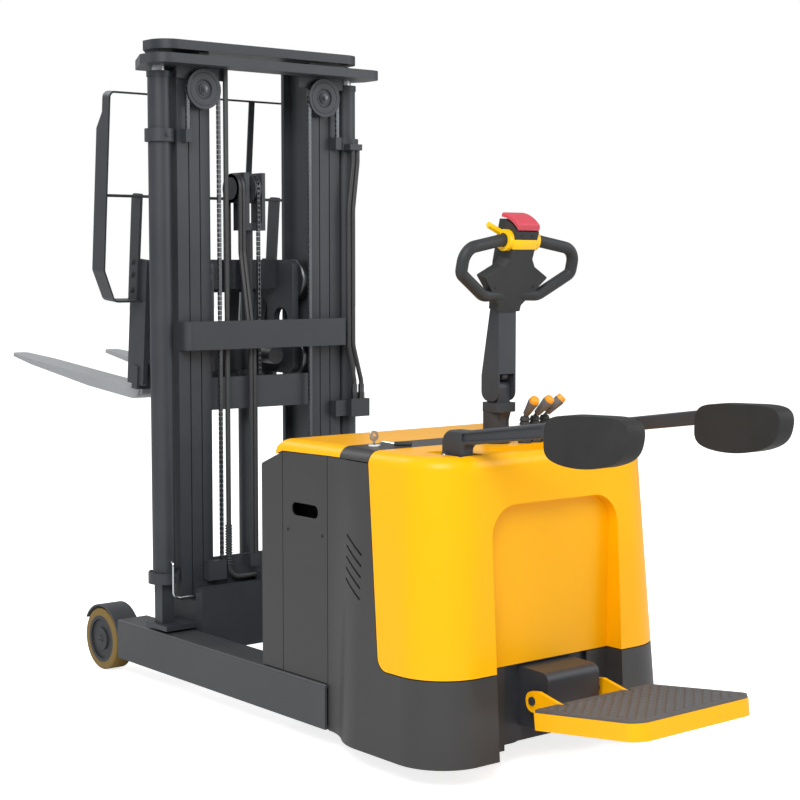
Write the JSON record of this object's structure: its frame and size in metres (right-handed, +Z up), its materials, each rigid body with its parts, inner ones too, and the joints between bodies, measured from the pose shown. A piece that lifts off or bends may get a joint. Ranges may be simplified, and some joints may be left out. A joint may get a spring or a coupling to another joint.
{
  "type": "stand-on reach stacker",
  "caption": "Stand-on electric stacker with straddle legs, a reach mast in nested stages, tilting forks, folding side arms and a fold-up platform.",
  "frame": {"origin": "on the floor, under the middle of the object's box", "axes": "+Y forward to the fork tips, +Z up, +X to the driver's right when facing the forks"},
  "size_m": [0.932, 3.3504, 2.102],
  "materials": {
    "mast_paint": "satin charcoal paint",
    "leg_paint": "satin grey paint",
    "panel_grey": "satin grey panels",
    "body_yellow": "glossy yellow moulding",
    "pedal_yellow": "yellow paint",
    "bare_steel": "bright steel",
    "chain_steel": "oiled chain steel",
    "black_rubber": "matt black rubber",
    "hose_rubber": "matt black hose",
    "tread": "polyurethane tread",
    "hub_grey": "painted cast hub",
    "head_plastic": "charcoal moulding",
    "paddle_yellow": "yellow moulding",
    "button_red": "soft red pad",
    "pad_foam": "black foam pad",
    "battery_case": "battery case",
    "fork_paint": "worn grey paint"
  },
  "bodies": {
    "chassis": {"straddle_legs": "leg_paint", "chassis_frame": "mast_paint", "skirt_shell": "panel_grey", "side_panels": "panel_grey", "front_cover": "body_yellow", "top_deck": "panel_grey", "rear_cover": "body_yellow", "battery_pack": "battery_case", "hydraulic_unit": "mast_paint", "pedal_housing": "mast_paint", "lever_boots": "black_rubber"},
    "key": {"key": "bare_steel"},
    "left_load_wheel": {"left_load_tyre": "tread", "left_load_hub": "hub_grey"},
    "right_load_wheel": {"right_load_tyre": "tread", "right_load_hub": "hub_grey"},
    "steering": {"tiller_post": "mast_paint", "drive_unit": "mast_paint"},
    "drive_wheel": {"drive_wheel": "hub_grey"},
    "tiller": {"tiller_arm": "mast_paint", "tiller_head": "head_plastic"},
    "paddles": {"speed_paddles": "paddle_yellow"},
    "belly_button": {"belly_button": "button_red"},
    "lift_lever": {"lift_lever": "head_plastic"},
    "reach_lever": {"reach_lever": "head_plastic"},
    "tilt_lever": {"tilt_lever": "head_plastic"},
    "pedal": {"pedal_frame": "pedal_yellow", "pedal_mat": "black_rubber"},
    "left_arm": {"left_arm": "mast_paint", "left_arm_pad": "pad_foam"},
    "right_arm": {"right_arm": "mast_paint", "right_arm_pad": "pad_foam"},
    "reach": {"reach_frame": "mast_paint", "outer_mast": "mast_paint", "lift_barrels": "mast_paint", "side_hoses": "hose_rubber"},
    "reach_rollers_front": {"reach_rollers_front": "bare_steel"},
    "reach_rollers_rear": {"reach_rollers_rear": "bare_steel"},
    "middle": {"middle_rails": "mast_paint", "lower_top_plate": "mast_paint", "lift_rods": "bare_steel", "lift_chains": "chain_steel", "feed_hose": "hose_rubber"},
    "left_sheave": {"left_sheave": "mast_paint"},
    "right_sheave": {"right_sheave": "mast_paint"},
    "inner": {"inner_mast": "mast_paint", "upper_top_plate": "mast_paint", "free_lift_barrel": "mast_paint"},
    "crosshead": {"crosshead": "mast_paint", "free_lift_chain": "chain_steel", "carriage_hoses": "hose_rubber"},
    "crosshead_sheaves": {"crosshead_sheaves": "mast_paint"},
    "carriage": {"carriage_frame": "mast_paint"},
    "carriage_rollers_low": {"carriage_rollers_low": "bare_steel"},
    "carriage_rollers_high": {"carriage_rollers_high": "bare_steel"},
    "tilt_rod": {"tilt_rod": "bare_steel"},
    "fork_carrier": {"fork_carrier": "mast_paint", "load_guard": "mast_paint"},
    "left_fork": {"left_fork": "fork_paint"},
    "right_fork": {"right_fork": "fork_paint"}
  },
  "joints": [
    {"name": "reach_slide", "type": "slide", "parent": "chassis", "child": "reach", "axis": [0, 1, 0], "range_m": [-0.48, 0]},
    {"name": "reach_roller_front_spin", "type": "hinge", "parent": "reach", "child": "reach_rollers_front", "pos_m": [0, 0.4658, 0.125], "axis": [1, 0, 0], "range_deg": [0, 555]},
    {"name": "reach_roller_rear_spin", "type": "hinge", "parent": "reach", "child": "reach_rollers_rear", "pos_m": [0, 0.2758, 0.125], "axis": [1, 0, 0], "range_deg": [0, 555]},
    {"name": "middle_lift", "type": "slide", "parent": "reach", "child": "middle", "axis": [0, 0, 1], "range_m": [0, 1.3], "deforming": ["lift_chains", "feed_hose"]},
    {"name": "inner_lift", "type": "slide", "parent": "middle", "child": "inner", "axis": [0, 0, 1], "range_m": [0, 1.3]},
    {"name": "left_sheave_spin", "type": "hinge", "parent": "middle", "child": "left_sheave", "pos_m": [-0.242, 0.2778, 1.95], "axis": [0, 1, 0], "range_deg": [-1264, 0]},
    {"name": "right_sheave_spin", "type": "hinge", "parent": "middle", "child": "right_sheave", "pos_m": [0.242, 0.2778, 1.95], "axis": [0, 1, 0], "range_deg": [0, 1264]},
    {"name": "free_lift", "type": "slide", "parent": "inner", "child": "crosshead", "axis": [0, 0, 1], "range_m": [-0.44, 0.15], "deforming": ["free_lift_chain", "carriage_hoses"]},
    {"name": "crosshead_sheave_spin", "type": "hinge", "parent": "crosshead", "child": "crosshead_sheaves", "pos_m": [0, 0.3878, 1.64], "axis": [1, 0, 0], "range_deg": [-562, 192]},
    {"name": "carriage_rise", "type": "slide", "parent": "crosshead", "child": "carriage", "axis": [0, 0, 1], "range_m": [-0.44, 0.15]},
    {"name": "carriage_roller_low_spin", "type": "hinge", "parent": "carriage", "child": "carriage_rollers_low", "pos_m": [0, 0.3848, 1.064], "axis": [1, 0, 0], "range_deg": [-735, 252]},
    {"name": "carriage_roller_high_spin", "type": "hinge", "parent": "carriage", "child": "carriage_rollers_high", "pos_m": [0, 0.3848, 1.334], "axis": [1, 0, 0], "range_deg": [-252, 735]},
    {"name": "tilt", "type": "hinge", "parent": "carriage", "child": "fork_carrier", "pos_m": [0, 0.5828, 1.358], "axis": [1, 0, 0], "range_deg": [-7, 0]},
    {"name": "tilt_rod_slide", "type": "slide", "parent": "carriage", "child": "tilt_rod", "axis": [0, 1, 0], "range_m": [-0.035, 0]},
    {"name": "left_fork_shift", "type": "slide", "parent": "fork_carrier", "child": "left_fork", "axis": [-1, 0, 0], "range_m": [-0.1, 0.008]},
    {"name": "right_fork_shift", "type": "slide", "parent": "fork_carrier", "child": "right_fork", "axis": [1, 0, 0], "range_m": [-0.1, 0.008]},
    {"name": "steer", "type": "hinge", "parent": "chassis", "child": "steering", "pos_m": [0, -0.8672, 0], "axis": [0, 0, -1], "range_deg": [-80, 80]},
    {"name": "drive_wheel_spin", "type": "hinge", "parent": "steering", "child": "drive_wheel", "pos_m": [0, -0.8672, 0.115], "axis": [1, 0, 0], "continuous": true},
    {"name": "tiller_tilt", "type": "hinge", "parent": "steering", "child": "tiller", "pos_m": [0, -0.8772, 1.036], "axis": [1, 0, 0], "range_deg": [-5, 40], "stiffness_Nm_per_rad": 30},
    {"name": "paddle_turn", "type": "hinge", "parent": "tiller", "child": "paddles", "pos_m": [0, -0.95642, 1.45382], "axis": [1, 0, 0], "range_deg": [-30, 30], "stiffness_Nm_per_rad": 0.6},
    {"name": "belly_button_press", "type": "slide", "parent": "tiller", "child": "belly_button", "axis": [0, -0.2419, 0.9703], "range_m": [-0.004, 0], "stiffness_N_per_m": 900, "springref_m": 0.003},
    {"name": "lift_lever_turn", "type": "hinge", "parent": "chassis", "child": "lift_lever", "pos_m": [0.061, -0.9222, 0.849], "axis": [1, 0, 0], "range_deg": [-10, 10], "stiffness_Nm_per_rad": 4, "deforming": ["lever_boots"]},
    {"name": "reach_lever_turn", "type": "hinge", "parent": "chassis", "child": "reach_lever", "pos_m": [0.1, -0.9222, 0.849], "axis": [1, 0, 0], "range_deg": [-10, 10], "stiffness_Nm_per_rad": 4, "deforming": ["lever_boots"]},
    {"name": "tilt_lever_turn", "type": "hinge", "parent": "chassis", "child": "tilt_lever", "pos_m": [0.139, -0.9222, 0.849], "axis": [1, 0, 0], "range_deg": [-10, 10], "stiffness_Nm_per_rad": 4, "deforming": ["lever_boots"]},
    {"name": "pedal_fold", "type": "hinge", "parent": "chassis", "child": "pedal", "pos_m": [0, -1.1602, 0.208], "axis": [-1, 0, 0], "range_deg": [-7, 80]},
    {"name": "left_arm_fold", "type": "hinge", "parent": "chassis", "child": "left_arm", "pos_m": [-0.283, -1.0032, 0.876], "axis": [-1, 0, 0], "range_deg": [0, 50]},
    {"name": "right_arm_fold", "type": "hinge", "parent": "chassis", "child": "right_arm", "pos_m": [0.283, -1.0032, 0.876], "axis": [-1, 0, 0], "range_deg": [0, 50]},
    {"name": "left_load_wheel_spin", "type": "hinge", "parent": "chassis", "child": "left_load_wheel", "pos_m": [-0.417, 0.6778, 0.105], "axis": [1, 0, 0], "continuous": true},
    {"name": "right_load_wheel_spin", "type": "hinge", "parent": "chassis", "child": "right_load_wheel", "pos_m": [0.417, 0.6778, 0.105], "axis": [1, 0, 0], "continuous": true},
    {"name": "key_turn", "type": "hinge", "parent": "chassis", "child": "key", "pos_m": [-0.33, -0.7242, 0.879], "axis": [0, 0, 1], "range_deg": [-90, 0]}
  ],
  "couplings": [
    {"joint": "reach_roller_front_spin", "follows": "reach_slide", "rad_per_m": -20.121},
    {"joint": "reach_roller_rear_spin", "follows": "reach_slide", "rad_per_m": -20.121},
    {"joint": "inner_lift", "follows": "middle_lift", "ratio": 1},
    {"joint": "left_sheave_spin", "follows": "middle_lift", "rad_per_m": -16.949},
    {"joint": "right_sheave_spin", "follows": "middle_lift", "rad_per_m": 16.949},
    {"joint": "carriage_rise", "follows": "free_lift", "ratio": 1},
    {"joint": "crosshead_sheave_spin", "follows": "free_lift", "rad_per_m": 22.222},
    {"joint": "carriage_roller_low_spin", "follows": "free_lift", "rad_per_m": 29.112},
    {"joint": "carriage_roller_high_spin", "follows": "free_lift", "rad_per_m": -29.112},
    {"joint": "tilt_rod_slide", "follows": "tilt", "m_per_rad": 0.282}
  ]
}
